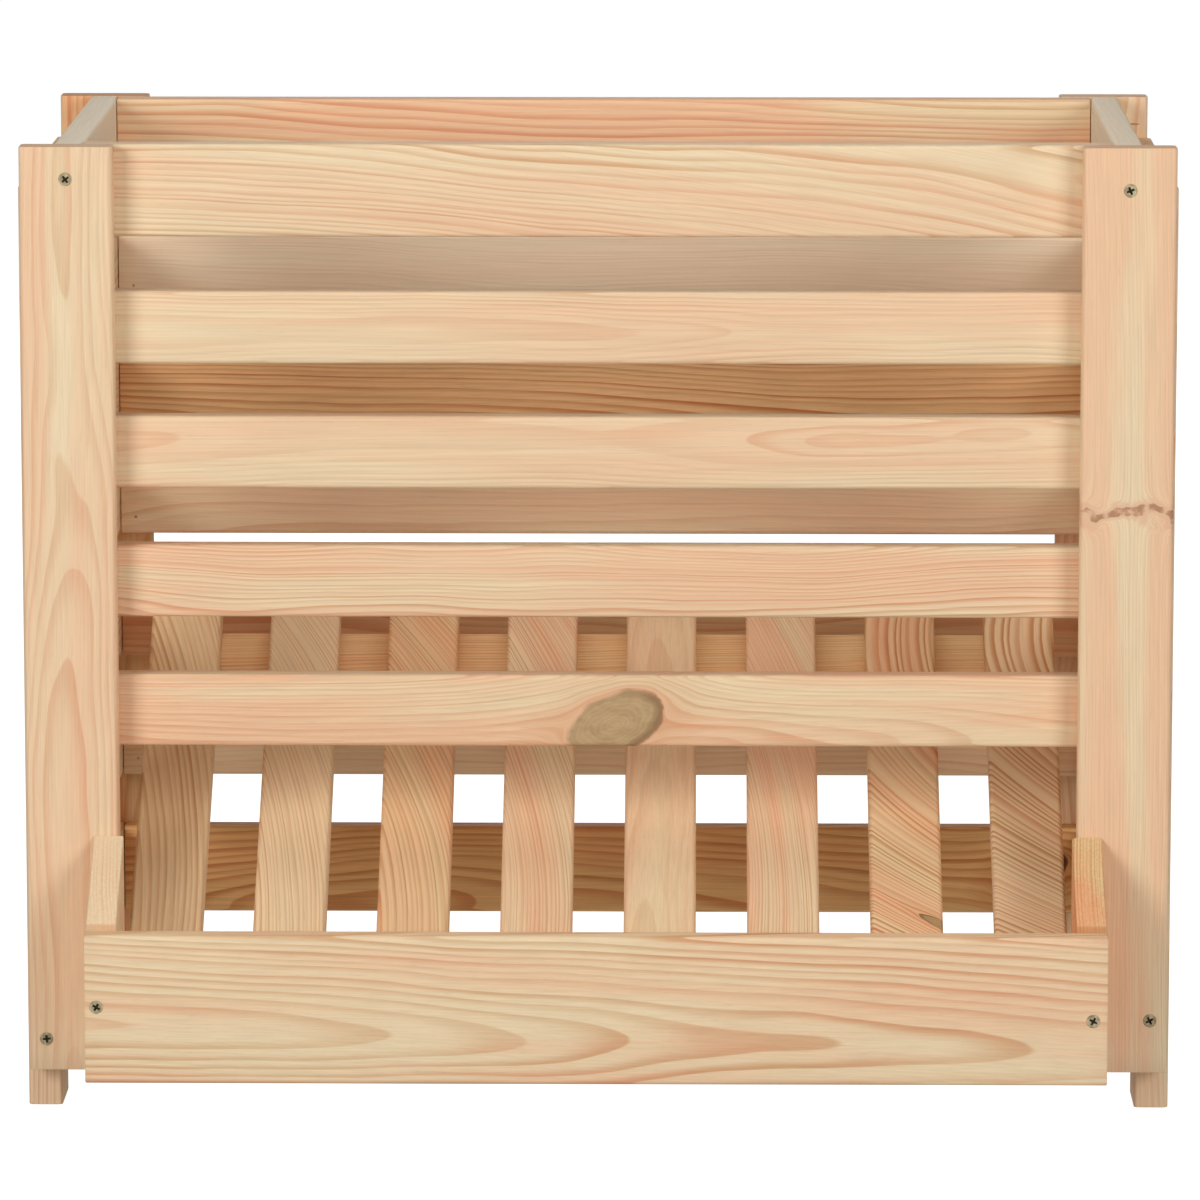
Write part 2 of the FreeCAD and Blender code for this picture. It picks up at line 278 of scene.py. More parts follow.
    relief = b.math("ADD", b.math("MULTIPLY", latewood, 0.5), b.math("MULTIPLY", fibre, 0.7))
    bump = b.add("ShaderNodeBump", Strength=0.35, Distance=0.0004, Height=relief)
    gloss = b.math("ADD", 0.52, b.math("MULTIPLY", fibre, 0.22))
    shader = b.add("ShaderNodeBsdfPrincipled", Base_Color=colour, Roughness=gloss, Normal=bump.outputs[0])
    shader.inputs["Specular IOR Level"].default_value = 0.32
    output = b.add("ShaderNodeOutputMaterial")
    tree.links.new(shader.outputs[0], output.inputs["Surface"])
    return material


def metal_material(name, bright, dull, roughness, metal):
    """Plated or coated steel, duller in patches, with painted shade down in the driver's recess."""
    material = bpy.data.materials.new(name)
    material.use_nodes = True
    tree = material.node_tree
    tree.nodes.clear()
    b = Bench(tree)
    place = b.add("ShaderNodeTexCoord").outputs["Object"]
    cloud = b.noise(place, (420.0, 420.0, 420.0), 3.0).outputs["Fac"]
    scuff = b.noise(place, (2600.0, 2600.0, 700.0), 2.0).outputs["Fac"]
    colour = b.blend(b.ramp(cloud, 0.3, 0.7), bright, dull)
    recess = b.add("ShaderNodeAttribute", {"attribute_name": "recess"}).outputs["Fac"]
    # Painted shade: the faces down in the driver's cross are coloured dark brown for the shade in the
    # recess.
    colour = b.blend(recess, colour, rgb(96, 80, 56))
    rough = b.math("ADD", roughness, b.math("MULTIPLY", scuff, 0.25))
    rough = b.math("ADD", rough, b.math("MULTIPLY", recess, 0.3))
    bump = b.add("ShaderNodeBump", Strength=0.2, Distance=0.0001, Height=scuff)
    shader = b.add("ShaderNodeBsdfPrincipled", Base_Color=colour, Roughness=rough, Normal=bump.outputs[0])
    shader.inputs["Metallic"].default_value = metal
    output = b.add("ShaderNodeOutputMaterial")
    tree.links.new(shader.outputs[0], output.inputs["Surface"])
    return material


def floor_material():
    """Plain white studio sweep, lit from below like a light table."""
    material = bpy.data.materials.new("studio_floor")
    material.use_nodes = True
    shader = material.node_tree.nodes["Principled BSDF"]
    shader.inputs["Base Color"].default_value = (0.5, 0.5, 0.5, 1.0)
    shader.inputs["Roughness"].default_value = 0.9
    shader.inputs["Emission Color"].default_value = (1.0, 1.0, 1.0, 1.0)
    shader.inputs["Emission Strength"].default_value = FLOOR_GLOW
    return material


# --------------------------------------------------------------------- boards

def cuts_of_the_log():
    """How the boards that show most were cut from their logs. pith is how far the board's middle
    lies from the pith, across and through the board, and spacing the width of a year's ring, in
    millimetres. lean and taper tilt the log in the board, across and through it, and sweep bends it.
    A knot is its place along and across from the board's middle, its radius, and how much
    shorter it is along the board than across."""
    # Besides each board's own tone, depth here paints light and shade: the rack slats and back_slat_2 are
    # darkened for the shade the front slats and the top rail cast on them, and back_slat_1 and the side top
    # rails are lightened for the light falling in from above.
    return {
        "front_stile_left": dict(pith=(1, 26), taper=0.025, spacing=3.4, contrast=0.4, warmth=0.9,
                                 station=3, figure=1.7),
        "front_stile_right": dict(pith=(60, 22), spacing=2.0, contrast=0.25, warmth=1.4, station=8,
                                  figure=0.9, knot=(62, 4, 34, 9.0)),
        "front_top_rail": dict(pith=(-52, 26), lean=0.125, sweep=0.16, spacing=3.5, contrast=0.68,
                               warmth=0.8, station=5, figure=1.5),
        "front_slat_1": dict(pith=(3, 26), taper=0.004, spacing=1.3, contrast=0.45, warmth=0.8,
                             station=6, figure=0.8),
        "front_slat_2": dict(pith=(-8, 30), taper=0.006, spacing=1.6, contrast=0.4, warmth=0.9,
                             station=4, figure=0.7),
        "front_slat_3": dict(pith=(30, 16), spacing=2.0, contrast=0.75, warmth=1.6, station=9,
                             figure=1.8),
        "front_slat_4": dict(pith=(22, 22), spacing=2.2, contrast=0.5, warmth=1.7, station=7,
                             depth=1.03, knot=(10, -8, 21, 0.78)),
        "trough_side_left": dict(pith=(0, 420), spacing=2.6, contrast=0.35, warmth=0.3),
        "trough_side_right": dict(pith=(0, 420), spacing=2.2, contrast=0.5, warmth=1.6, depth=1.5),
        "trough_front_board": dict(pith=(16, 20), taper=0.046, spacing=4.0, contrast=0.8, warmth=0.9,
                                   station=2, figure=1.1, depth=1.03),
        "back_top_rail": dict(pith=(-40, 24), spacing=3.2, contrast=0.7, warmth=1.6, depth=1.05),
        "back_slat_1": dict(pith=(34, 40), spacing=1.6, contrast=0.4, warmth=0.5, depth=0.7),
        "back_slat_2": dict(pith=(38, 26), spacing=2.8, contrast=0.85, warmth=0.35, depth=1.55),
        "back_slat_3": dict(pith=(30, 30), spacing=2.6, contrast=0.5, warmth=0.6, depth=0.92),
        "back_slat_4": dict(spacing=2.4, contrast=0.9, warmth=1.6, depth=1.25),
        "back_slat_5": dict(pith=(34, 30), spacing=2.4, contrast=0.5, warmth=0.6, depth=1.03),
        "back_bottom_rail": dict(pith=(30, 24), spacing=3.6, contrast=0.6, warmth=0.4, depth=2.05,
                                 figure=1.8, knot=(277, -2, 15, 0.8)),
        "back_stile_right": dict(knot=(-96, -6, 9, 0.8)),
        "left_side_slat_3": dict(knot=(46, 5, 8, 0.9)),
        "left_side_bottom_rail": dict(knot=(-70, 8, 10, 0.8)),
        "right_side_slat_2": dict(knot=(-58, -4, 9, 0.8)),
        "right_side_slat_5": dict(knot=(64, 6, 7, 0.9)),
        "back_stile_left": dict(spacing=2.6, contrast=0.6, warmth=1.6, depth=1.5),
        "left_side_top_rail": dict(pith=(30, 60), spacing=2.0, contrast=0.2, warmth=0.1, depth=0.68),
        "right_side_top_rail": dict(pith=(26, 50), spacing=2.2, contrast=0.25, warmth=0.1, depth=0.75),
        "rack_batten_upper": dict(pith=(40, 30), spacing=1.8, contrast=0.6, warmth=0.5, depth=1.6),
        "rack_slat_1": dict(pith=(34, 30), lean=0.1, sweep=0.5, spacing=3.4, contrast=0.7, warmth=0.2,
                            depth=1.25),
        "rack_slat_2": dict(pith=(76, 24), lean=0.24, sweep=1.0, spacing=2.8, contrast=0.7, warmth=0.3,
                            depth=1.12),
        "rack_slat_3": dict(pith=(80, 30), lean=0.30, sweep=1.2, spacing=3.2, contrast=0.75, warmth=0.8,
                            depth=1.32),
        "rack_slat_4": dict(pith=(80, 18), lean=0.20, sweep=0.9, spacing=2.4, contrast=0.9, warmth=1.1,
                            depth=1.1),
        "rack_slat_5": dict(pith=(6, 30), taper=0.06, spacing=4.0, contrast=0.3, warmth=0.6,
                            figure=1.8, depth=1.12),
        "rack_slat_6": dict(pith=(80, 18), lean=0.15, sweep=0.8, spacing=2.1, contrast=0.75, warmth=1.2,
                            depth=1.08),
        "rack_slat_7": dict(pith=(236, 16), lean=0.85, sweep=-3.0, spacing=5.4, contrast=1.15,
                            warmth=0.9, figure=2.0, depth=1.26, knot=(-108, 20, 6, 0.7)),
        "rack_slat_8": dict(pith=(250, 14), lean=0.95, sweep=-3.3, spacing=5.8, contrast=1.4,
                            warmth=0.4, figure=2.2, depth=1.16),
    }


class Board:
    """One board: its size, its place in the feeder and its cut of the log."""

    def __init__(self, node, centre, size, along, across, cuts):
        self.node = node
        self.length, self.width, self.thickness = size
        through = along.cross(across)
        turn = Matrix((along, across, through)).transposed()
        self.place = Matrix.Translation(centre) @ turn.to_4x4()
        dice = random.Random("pine " + node)
        pith_across = dice.choice((-1, 1)) * dice.uniform(5, 60)
        pith_through = dice.choice((-1, 1)) * dice.uniform(22, 60)
        usual = dict(pith=(pith_across, pith_through), station=dice.uniform(10, 60),
                     lean=dice.uniform(-0.03, 0.03), taper=dice.uniform(-0.03, 0.03), sweep=0.0,
                     spacing=dice.uniform(2.3, 3.8), contrast=dice.uniform(0.5, 0.95),
                     warmth=dice.uniform(0.4, 1.0), depth=1.0, figure=1.0, knot=(0, 0, 0, 1))
        usual.update(cuts.get(node, {}))
        self.cut = usual

    def in_log(self, x, y, z):
        """Where a point of the board lay in its log."""
        cut = self.cut
        across = y + cut["lean"] * x + cut["sweep"] * x * x + cut["pith"][0] * MM
        through = z + cut["taper"] * x + cut["pith"][1] * MM
        return cut["station"] + x, across, through

    def traits(self):
        """The vectors that the pine material reads, the same all over the board."""
        cut = self.cut
        knot_x, knot_y, knot_radius, knot_stretch = cut["knot"]
        centre = self.in_log(knot_x * MM, knot_y * MM, 0.0)
        return {
            "knot": (centre[0], centre[1], knot_radius * MM),
            "tone": (cut["contrast"], cut["warmth"], cut["spacing"] * MM),
            "look": (cut["depth"], cut["figure"], knot_stretch),
        }


def straight_board(node, cuts):
    """A board that lies along an axis, its faces square to the others."""
    low, high = (Vector(corner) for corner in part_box(node))
    size = high - low
    axes = sorted(range(3), key=lambda axis: -size[axis])
    basis = (RIGHT, BACK, UP)
    lengths = [size[axis] for axis in axes]
    return Board(node, (low + high) / 2, lengths, basis[axes[0]], basis[axes[1]], cuts)


def sloping_board(node, along, across, thickness, cuts):
    """A board of the rack, whose box leans with the slope."""
    low, high = (Vector(corner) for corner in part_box(node))
    size = high - low
    on_slope = (size.y - thickness * math.sin(RACK_SLOPE)) / math.cos(RACK_SLOPE)
    lengths = (on_slope, size.x) if along is UPHILL else (size.x, on_slope)
    return Board(node, (low + high) / 2, (lengths[0], lengths[1], thickness), along, across, cuts)


def board_tree(pine):
    """Geometry nodes for a planed board: a rounded section run along a line, its
    ends softened and its faces planed a little unevenly by hand."""
    tree = bpy.data.node_groups.new("planed_board", "GeometryNodeTree")
    tree.interface.new_socket("Geometry", in_out="INPUT", socket_type="NodeSocketGeometry")
    tree.interface.new_socket("Geometry", in_out="OUTPUT", socket_type="NodeSocketGeometry")
    for name in ("Length", "Width", "Thickness", "Arris", "Softening", "Planing", "Station"):
        tree.interface.new_socket(name, in_out="INPUT", socket_type="NodeSocketFloat")
    tree.interface.new_socket("Stations", in_out="INPUT", socket_type="NodeSocketInt")
    b = Bench(tree)
    given = b.add("NodeGroupInput").outputs
    section = b.add("GeometryNodeCurvePrimitiveQuadrilateral",
                    Width=given["Width"], Height=given["Thickness"])
    rounded = b.add("GeometryNodeFilletCurve", {"mode": "POLY"}, Curve=section.outputs[0], Count=5,
                    Radius=given["Arris"])
    half = b.math("MULTIPLY", given["Length"], 0.5)
    inner = b.math("SUBTRACT", half, given["Softening"])
    line = b.add("GeometryNodeCurvePrimitiveLine", Start=b.join(b.math("MULTIPLY", inner, -1.0), 0.0, 0.0),
                 End=b.join(inner, 0.0, 0.0))
    stations = b.add("GeometryNodeResampleCurve", Curve=line.outputs[0], Count=given["Stations"])
    body = b.add("GeometryNodeCurveToMesh", Fill_Caps=False)
    tree.links.new(stations.outputs[0], body.inputs[0])
    tree.links.new(rounded.outputs[0], body.inputs["Profile Curve"])
    spot = b.vector("ADD", b.add("GeometryNodeInputPosition").outputs[0], b.join(given["Station"], 0.0, 0.0))
    dips = b.noise(spot, (4.0, 30.0, 30.0), 2.0).outputs["Fac"]
    depth = b.math("MULTIPLY", b.math("MULTIPLY", dips, given["Planing"]), -1.0)
    inward = b.vector("SCALE", b.add("GeometryNodeInputNormal").outputs[0], depth)
    planed = b.add("GeometryNodeSetPosition", Geometry=body.outputs[0], Offset=inward)
    smooth = b.add("GeometryNodeSetShadeSmooth", Geometry=planed.outputs[0])
    real = b.add("GeometryNodeRealizeInstances", Geometry=smooth.outputs[0])
    finish = b.add("GeometryNodeSetMaterial", Geometry=real.outputs[0], Material=pine)
    result = b.add("NodeGroupOutput")
    tree.links.new(finish.outputs[0], result.inputs[0])
    return tree


def grown(name, tree, sizes, blank=None):
    """A plain mesh made by a geometry-node tree with its named inputs set."""
    carrier = bpy.data.objects.new(name, blank or bpy.data.meshes.new(name))
    bpy.context.scene.collection.objects.link(carrier)
    modifier = carrier.modifiers.new("grow", "NODES")
    modifier.node_group = tree
    sockets = {item.name: item.identifier for item in tree.interface.items_tree if item.in_out == "INPUT"}
    for key, value in sizes.items():
        modifier[sockets[key]] = value
    bpy.context.view_layer.update()
    evaluated = carrier.evaluated_get(bpy.context.evaluated_depsgraph_get())
    mesh = bpy.data.meshes.new_from_object(evaluated)
    mesh.name = name
    bpy.data.objects.remove(carrier)
    return mesh


def close_ends(mesh, softening):
    """Saw-cut ends: the open rims are drawn in by the softening and capped."""
    shape = bmesh.new()
    shape.from_mesh(mesh)
    for side in (-1, 1):
        rim = [edge for edge in shape.edges if edge.is_boundary and edge.verts[0].co.x * side > 0]
        pushed = bmesh.ops.extrude_edge_only(shape, edges=rim)["geom"]
        corners = [item for item in pushed if isinstance(item, bmesh.types.BMVert)]
        for corner in corners:
            flat = Vector((0.0, corner.co.y, corner.co.z))
            corner.co -= flat.normalized() * softening
            corner.co.x += side * softening
        new_rim = [item for item in pushed if isinstance(item, bmesh.types.BMEdge)]
        cap = bmesh.ops.contextual_create(shape, geom=new_rim)["faces"]
        for face in cap:
            face.smooth = False
    bmesh.ops.recalc_face_normals(shape, faces=shape.faces)
    shape.to_mesh(mesh)
    shape.free()


def lay_grain(mesh, board):
    """Writes on each vertex where it lies in the board, and the board's cut of the log."""
    count = len(mesh.vertices)
    spots = np.empty(count * 3)
    mesh.vertices.foreach_get("co", spots)
    spots = np.c_[spots.reshape(count, 3), np.ones(count)]
    back = np.array(board.place.inverted())
    local = (spots @ back.T)[:, :3]
    carried = {"grain": np.array(board.in_log(local[:, 0], local[:, 1], local[:, 2])).T}
    for name, value in board.traits().items():
        carried[name] = np.tile(value, (count, 1))
    for name, values in carried.items():
        layer = mesh.attributes.new(name, "FLOAT_VECTOR", "POINT")
        layer.data.foreach_set("vector", np.ascontiguousarray(values, dtype=np.float32).ravel())
    to_end = board.length / 2 - np.abs(local[:, 0])
    ends = np.clip(1.0 - to_end / (0.6 * MM), 0.0, 1.0)
    layer = mesh.attributes.new("end_grain", "FLOAT", "POINT")
    layer.data.foreach_set("value", ends.astype(np.float32))


def finished(mesh, name, node, materials=()):
    """Puts a mesh in the scene as the piece that stands for a CAD node."""
    mesh.materials.clear()
    for material in materials:
        mesh.materials.append(material)
    piece = bpy.data.objects.new(name, mesh)
    bpy.context.scene.collection.objects.link(piece)
    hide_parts(node)
    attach(piece, "root")
    return piece


def plane_board(board, tree, pine, cutters):
    sizes = {"Length": board.length, "Width": board.width, "Thickness": board.thickness,
             "Arris": ARRIS, "Softening": END_SOFTENING, "Planing": HAND_PLANING,
             "Station": board.cut["station"], "Stations": max(6, int(board.length / SECTION_STEP))}
    mesh = grown(board.node + "_wood", tree, sizes)
    close_ends(mesh, END_SOFTENING)
    mesh.transform(board.place)
    mesh = countersunk(mesh, cutters)
    lay_grain(mesh, board)
    mesh.set_sharp_from_angle(angle=math.radians(40))
    return finished(mesh, board.node + "_wood", board.node, (pine,))


def countersunk(mesh, cutters):
    """Bores the countersinks of the screws whose heads lie in this board."""
    low = Vector(np.min([vertex.co for vertex in mesh.vertices], axis=0))
    high = Vector(np.max([vertex.co for vertex in mesh.vertices], axis=0))
    mine = [cutter for cutter in cutters if all(low[a] - MM < cutter[0][a] < high[a] + MM for a in range(3))]
    if not mine:
        return mesh
    tool = bpy.data.objects.new("countersink", countersink_mesh(mine))
    blank = bpy.data.objects.new("blank", mesh)
    for item in (tool, blank):
        bpy.context.scene.collection.objects.link(item)
    cut = blank.modifiers.new("countersink", "BOOLEAN")
    cut.object = tool
    cut.operation = "DIFFERENCE"
    cut.solver = "EXACT"
    bpy.context.view_layer.update()
    evaluated = blank.evaluated_get(bpy.context.evaluated_depsgraph_get())
    bored = bpy.data.meshes.new_from_object(evaluated)
    bored.name = mesh.name
    bpy.data.objects.remove(tool)
    bpy.data.objects.remove(blank)
    return bored


def countersink_mesh(heads):
    """One cone for each screw head, a little wider than the head."""
    shape = bmesh.new()
    for point, outward in heads:
        radius = SCREW_HEAD_RADIUS + SINK_MARGIN
        depth = SCREW_HEAD_HEIGHT + SCREW_SINK + 2 * MM
        turn = outward.to_track_quat("Z", "Y").to_matrix().to_4x4()
        rise = depth / 2 - SCREW_HEAD_HEIGHT - SCREW_SINK
        slope = (SCREW_HEAD_RADIUS - SCREW_SHANK_RADIUS) / SCREW_HEAD_HEIGHT
        bmesh.ops.create_cone(
            shape, cap_ends=True, segments=40,
            radius1=SCREW_SHANK_RADIUS + SINK_MARGIN * 0.5, radius2=radius + slope * 2 * MM, depth=depth,
            matrix=Matrix.Translation(point) @ turn @ Matrix.Translation((0.0, 0.0, rise)))
    mesh = bpy.data.meshes.new("countersink")
    shape.to_mesh(mesh)
    shape.free()
    return mesh


def trough_cheek(node, pine, cuts):
    """A trough side: a short board with a sloping top, its grain running front to back."""
    low, high = (Vector(corner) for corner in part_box(node))
    source = frame["nodes"][node]
    points = [source.matrix_world @ vertex.co for vertex in source.data.vertices]
    front_top = max(point.z for point in points if point.y < low.y + 0.5 * MM)
    outline = [(low.y, low.z), (high.y, low.z), (high.y, high.z), (low.y, front_top)]
    shape = bmesh.new()
    rows = []
    for x in (low.x, high.x):
        rows.append([shape.verts.new((x, y, z)) for y, z in outline])
    shape.faces.new(rows[0])
    shape.faces.new(reversed(rows[1]))
    for index in range(len(outline)):
        after = (index + 1) % len(outline)
        shape.faces.new((rows[0][index], rows[1][index], rows[1][after], rows[0][after]))
    bmesh.ops.recalc_face_normals(shape, faces=shape.faces)
    bmesh.ops.bevel(shape, geom=list(shape.edges), offset=CHEEK_ARRIS, offset_type="OFFSET",
                    segments=3, profile=0.5, affect="EDGES")
    for face in shape.faces:
        face.smooth = True
    mesh = bpy.data.meshes.new(node + "_wood")
    shape.to_mesh(mesh)
    shape.free()
    size = high - low
    board = Board(node, (low + high) / 2, (size.y, size.z, size.x), BACK, UP, cuts)
    lay_grain(mesh, board)
    mesh.set_sharp_from_angle(angle=math.radians(40))
    return finished(mesh, node + "_wood", node, (pine,))


# ------------------------------------------------------------------ fasteners

def set_out_fasteners(node):
    """(head point, outward direction, length) of every screw or brad in a CAD node, read
    from its separate solids: the head is the end where the solid is widest."""
    shape = bmesh.new()
    shape.from_mesh(frame["nodes"][node].data)
    bmesh.ops.remove_doubles(shape, verts=shape.verts, dist=1e-6)
    left = set(shape.verts)
    found = []
    while left:
        seed = next(iter(sorted(left, key=lambda v: v.index)[:1]))
        island = {seed}
        front = [seed]
        while front:
            vertex = front.pop()
            for edge in vertex.link_edges:
                other = edge.other_vert(vertex)
                if other not in island:
                    island.add(other)
                    front.append(other)
        left -= island
        found.append(head_of(np.array([vertex.co for vertex in island])))
    shape.free()
    return sorted(found, key=lambda item: tuple(round(value, 5) for value in item[0]))


def head_of(points):
    middle = points.mean(axis=0)
    axis = np.linalg.svd(points - middle, full_matrices=False)[2][0]
    run = (points - middle) @ axis
    off_axis = np.linalg.norm(points - middle - np.outer(run, axis), axis=1)
    if run[off_axis.argmax()] < 0:
        axis = -axis
        run = -run
    length = run.max() - run.min()
    centre = (points.min(axis=0) + points.max(axis=0)) / 2
    offset = ((points - centre) @ axis).max()
    return Vector(centre + axis * offset), Vector(axis).normalized(), length


def lathe(shape, profile, turns):
    """Revolves (radius, height) points round Z into closed rings."""
    rings = []
    for radius, height in profile:
        ring = []
        for step in range(turns):
            angle = math.tau * step / turns
            ring.append(shape.verts.new((radius * math.cos(angle), radius * math.sin(angle), height)))
        rings.append(ring)
    for lower, upper in zip(rings, rings[1:]):
        for step in range(turns):
            after = (step + 1) % turns
            shape.faces.new((lower[step], lower[after], upper[after], upper[step]))
    shape.faces.new(list(reversed(rings[0])))
    shape.faces.new(rings[-1])


def recess_cutter():
    """The driver's cross: four tapering wings that meet in a pointed well."""
    shape = bmesh.new()
    for turn in (0, 90):
        wing = bmesh.ops.create_cube(shape, size=1.0)["verts"]
        for vertex in wing:
            top = vertex.co.z > 0
            vertex.co.x *= (5.4 if top else 2.6) * MM
            vertex.co.y *= (1.45 if top else 0.9) * MM
            vertex.co.z = 0.4 * MM if top else -1.9 * MM
        quarter = Matrix.Rotation(math.radians(turn), 3, "Z")
        bmesh.ops.rotate(shape, verts=wing, cent=(0, 0, 0), matrix=quarter)
    well = bmesh.ops.create_cone(shape, cap_ends=True, segments=16, radius1=0.3 * MM, radius2=1.45 * MM,
                                 depth=2.6 * MM)["verts"]
    bmesh.ops.translate(shape, verts=well, vec=(0, 0, -0.9 * MM))
    mesh = bpy.data.meshes.new("recess")
    shape.to_mesh(mesh)
    shape.free()
    return mesh


def screw_blank(length):
    """Head, core and point of a countersunk screw, turned on a lathe, with the driver's cross cut in."""
    profile = [(0.05 * MM, -length), (SCREW_CORE_RADIUS, -length + 4 * MM)]
    profile += [(SCREW_CORE_RADIUS, -length * 0.45), (SCREW_SHANK_RADIUS * 0.92, -length * 0.43)]
    profile += [(SCREW_SHANK_RADIUS * 0.92, -SCREW_HEAD_HEIGHT - 0.2 * MM)]
    profile += [(SCREW_HEAD_RADIUS, -0.28 * MM), (SCREW_HEAD_RADIUS, -0.12 * MM)]
    profile += [(SCREW_HEAD_RADIUS - 0.12 * MM, 0.0)]
    shape = bmesh.new()
    lathe(shape, profile, 36)
    bmesh.ops.recalc_face_normals(shape, faces=shape.faces)
    mesh = bpy.data.meshes.new("screw")
    shape.to_mesh(mesh)
    shape.free()
    blank = bpy.data.objects.new("screw_blank", mesh)
    tool = bpy.data.objects.new("recess", recess_cutter())
    for item in (blank, tool):
        bpy.context.scene.collection.objects.link(item)
    cut = blank.modifiers.new("recess", "BOOLEAN")
    cut.object = tool
    cut.operation = "DIFFERENCE"
    cut.solver = "EXACT"
    cut.use_self = True
    bpy.context.view_layer.update()
    evaluated = blank.evaluated_get(bpy.context.evaluated_depsgraph_get())
    bored = bpy.data.meshes.new_from_object(evaluated)
    bpy.data.objects.remove(tool)
    bpy.data.objects.remove(blank)
    mark_recess(bored)
    return bored


def mark_recess(mesh):
    """Marks the faces down in the driver's cross with 1, and all others with 0; the steel paints shade into
    the marked faces.
    """
    layer = mesh.attributes.new("recess", "FLOAT", "CORNER")
    for face in mesh.polygons:
        in_head = face.center.z > -SCREW_HEAD_HEIGHT and face.center.xy.length < 2.9 * MM
        in_cross = in_head and face.center.z < -0.05 * MM
        for corner in face.loop_indices:
            layer.data[corner].value = 1.0 if in_cross else 0.0


def brad_blank(length):
    """A wire brad with a small flat head and a cut point."""
    wire = 0.65 * MM
    head = 1.1 * MM
    profile = [(0.05 * MM, -length), (wire, -length + 2 * MM), (wire, -0.6 * MM), (head, -0.5 * MM),
               (head, -0.1 * MM), (head * 0.85, 0.0)]
    shape = bmesh.new()
    lathe(shape, profile, 10)
    bmesh.ops.recalc_face_normals(shape, faces=shape.faces)
    mesh = bpy.data.meshes.new("brad")
    shape.to_mesh(mesh)
    shape.free()
    return mesh


def fastener_tree(name, steel, threaded, length):
    """Geometry nodes that set one fastener on every point, its head facing along the
    point's outward direction and its slot turned at random, with a rolled thread on screws."""
    tree = bpy.data.node_groups.new(name, "GeometryNodeTree")
    tree.interface.new_socket("Geometry", in_out="INPUT", socket_type="NodeSocketGeometry")
    tree.interface.new_socket("Geometry", in_out="OUTPUT", socket_type="NodeSocketGeometry")
    tree.interface.new_socket("Blank", in_out="INPUT", socket_type="NodeSocketObject")
    tree.interface.new_socket("Sink", in_out="INPUT", socket_type="NodeSocketFloat")
    tree.interface.new_socket("Seed", in_out="INPUT", socket_type="NodeSocketInt")
    b = Bench(tree)
    given = b.add("NodeGroupInput").outputs
    blank = b.add("GeometryNodeObjectInfo", Object=given["Blank"]).outputs["Geometry"]
    if threaded:
        grip = length * 0.55
        spiral = b.add("GeometryNodeCurveSpiral", Resolution=14, Rotations=grip / THREAD_PITCH,
                       Start_Radius=SCREW_CORE_RADIUS, End_Radius=SCREW_CORE_RADIUS, Height=grip - 4 * MM)
        ridge = b.add("GeometryNodeCurvePrimitiveCircle", Resolution=3, Radius=0.55 * MM)
        thread = b.add("GeometryNodeCurveToMesh", Fill_Caps=True)
        tree.links.new(spiral.outputs[0], thread.inputs[0])
        tree.links.new(ridge.outputs[0], thread.inputs["Profile Curve"])
        lowered = b.add("GeometryNodeTransform", Geometry=thread.outputs[0],
                        Translation=(0.0, 0.0, 3 * MM - length))
        both = b.add("GeometryNodeJoinGeometry")
        tree.links.new(blank, both.inputs[0])
        tree.links.new(lowered.outputs[0], both.inputs[0])
        blank = both.outputs[0]
    outward = b.add("GeometryNodeInputNamedAttribute", {"data_type": "FLOAT_VECTOR"},
                    Name="outward").outputs[0]
    upright = b.add("FunctionNodeAlignRotationToVector", {"axis": "Z"}, Vector=outward).outputs[0]
    spin = b.add("FunctionNodeRandomValue", {"data_type": "FLOAT"}, Seed=given["Seed"])
    spin.inputs[3].default_value = math.tau
    roll = b.add("FunctionNodeAxisAngleToRotation", Axis=(0.0, 0.0, 1.0), Angle=spin.outputs[1]).outputs[0]
    pose = b.add("FunctionNodeRotateRotation", {"rotation_space": "LOCAL"}, Rotation=upright, Rotate_By=roll)
    sunk = b.vector("SCALE", outward, b.math("MULTIPLY", given["Sink"], -1.0))
    points = b.add("GeometryNodeSetPosition", Geometry=given["Geometry"], Offset=sunk)
    stood = b.add("GeometryNodeInstanceOnPoints", Points=points.outputs[0], Instance=blank,
                  Rotation=pose.outputs[0])
    real = b.add("GeometryNodeRealizeInstances", Geometry=stood.outputs[0])
    finish = b.add("GeometryNodeSetMaterial", Geometry=real.outputs[0], Material=steel)
    result = b.add("NodeGroupOutput")
    tree.links.new(finish.outputs[0], result.inputs[0])
    return tree


def drive_fasteners(node, steel, seed):
    """All the screws or brads of one CAD node, as one piece."""
    spots = set_out_fasteners(node)
    threaded = node.endswith("screws")
    length = spots[0][2]
    sink = SCREW_SINK if threaded else BRAD_SINK
    blank_mesh = screw_blank(length - sink) if threaded else brad_blank(length - sink)
    blank = bpy.data.objects.new("blank", blank_mesh)
    bpy.context.scene.collection.objects.link(blank)
    points = bpy.data.meshes.new("heads")
    points.from_pydata([spot[0] for spot in spots], [], [])
    layer = points.attributes.new("outward", "FLOAT_VECTOR", "POINT")
    layer.data.foreach_set("vector", np.array([spot[1] for spot in spots], dtype=np.float32).ravel())
    tree = fastener_tree(node + "_set", steel, threaded, length - sink)
    mesh = grown(node + "_steel", tree, {"Blank": blank, "Sink": sink, "Seed": seed}, points)
    bpy.data.objects.remove(blank)
    mesh.set_sharp_from_angle(angle=math.radians(30))
    return finished(mesh, node + "_steel", node, (steel,))


# ---------------------------------------------------------- studio and camera

def aim(thing, place, target):
    thing.location = place
    thing.rotation_euler = (Vector(target) - Vector(place)).to_track_quat("-Z", "Y").to_euler()


def set_camera(low, high):
    """A long lens a little above the feeder and right of its middle, looking at its centre."""
    centre = (low + high) / 2
    camera = bpy.data.cameras.new("camera")
    camera.sensor_width = 36.0
    camera.lens = CAMERA_LENS
    camera.clip_end = 60.0
    rig = bpy.data.objects.new("camera", camera)
    bpy.context.scene.collection.objects.link(rig)
    aim(rig, CAMERA_PLACE, centre + UP * AIM_ABOVE_CENTRE)
    bpy.context.scene.camera = rig


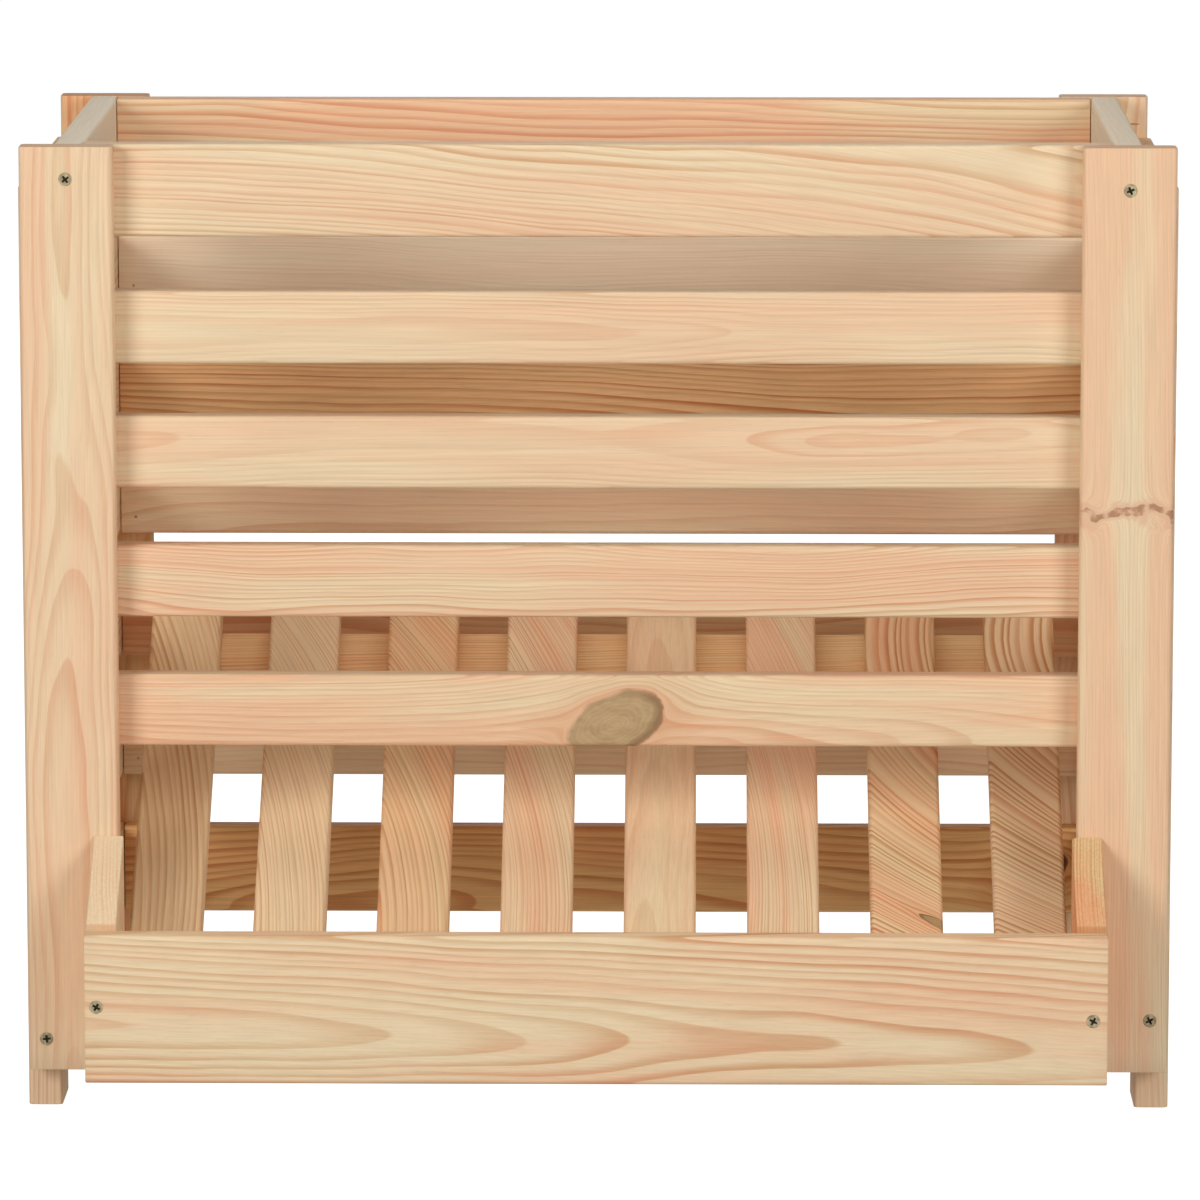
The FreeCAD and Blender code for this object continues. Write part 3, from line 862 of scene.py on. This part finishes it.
def softbox(name, place, target, width, height, power):
    light = bpy.data.lights.new(name, "AREA")
    light.shape = "RECTANGLE"
    light.size = width
    light.size_y = height
    light.energy = power
    lamp = bpy.data.objects.new(name, light)
    bpy.context.scene.collection.objects.link(lamp)
    aim(lamp, place, target)


def set_studio(low, high):
    centre = (low + high) / 2
    world = bpy.data.worlds.new("studio")
    world.use_nodes = True
    sky = world.node_tree.nodes["Background"]
    sky.inputs["Color"].default_value = (1.0, 1.0, 1.0, 1.0)
    b = Bench(world.node_tree)
    height = b.split(b.add("ShaderNodeTexCoord").outputs["Generated"])[2]
    b.feed(sky.inputs["Strength"], b.ramp(height, -0.1, 0.1, GROUND_BOUNCE, AMBIENT))
    bpy.context.scene.world = world
    softbox("left_softbox", (-2.2, -2.9, 1.35), centre, 1.5, 1.5, LEFT_POWER)
    softbox("right_softbox", (2.2, -2.9, 1.35), centre, 1.5, 1.5, RIGHT_POWER)
    softbox("overhead", (0.0, -0.4, 2.3), centre, 2.0, 1.6, OVERHEAD_POWER)
    softbox("rear_softbox", (0.0, 3.4, 1.6), centre, 1.5, 1.5, REAR_POWER)
    corners = [(x * FLOOR_REACH, y * FLOOR_REACH, 0.0) for x, y in ((-1, -1), (1, -1), (1, 1), (-1, 1))]
    sheet = bpy.data.meshes.new("floor")
    sheet.from_pydata(corners, [], [(0, 1, 2, 3)])
    sheet.materials.append(floor_material())
    floor = bpy.data.objects.new("floor", sheet)
    bpy.context.scene.collection.objects.link(floor)
    floor.visible_diffuse = False
    floor.visible_glossy = False
    view = bpy.context.scene.view_settings
    view.view_transform = "Standard"
    view.look = "None"


# ----------------------------------------------------------------- the feeder

def build():
    low, high = (Vector(corner) for corner in cad_box)
    set_camera(low, high)
    set_studio(low, high)
    pine = pine_material()
    zinc = metal_material("yellow_zinc", rgb(214, 202, 166), rgb(162, 146, 110), 0.36, 0.6)
    coated = metal_material("coated_brad", rgb(206, 170, 128), rgb(176, 138, 98), 0.5, 0.15)
    tree = board_tree(pine)
    cuts = cuts_of_the_log()
    slots = {row["node"]: row["material_slot"] for row in frame["record"]["subparts"]}
    heads = []
    for node in sorted(frame["nodes"]):
        if node in ("front_panel_screws", "back_panel_screws", "trough_front_screws"):
            heads += [(spot[0], spot[1]) for spot in set_out_fasteners(node)]
    thickness = min(Vector(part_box("front_top_rail")[1]) - Vector(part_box("front_top_rail")[0]))
    for number, node in enumerate(sorted(frame["nodes"])):
        if slots[node] == "zinc_screw":
            drive_fasteners(node, zinc, number)
        elif slots[node] == "brad":
            drive_fasteners(node, coated, number)
        elif node.startswith("trough_side"):
            trough_cheek(node, pine, cuts)
        elif node.startswith("rack_slat"):
            plane_board(sloping_board(node, UPHILL, RIGHT, thickness, cuts), tree, pine, ())
        elif node.startswith("rack_batten"):
            plane_board(sloping_board(node, RIGHT, UPHILL, thickness, cuts), tree, pine, ())
        else:
            plane_board(straight_board(node, cuts), tree, pine, heads)


build()
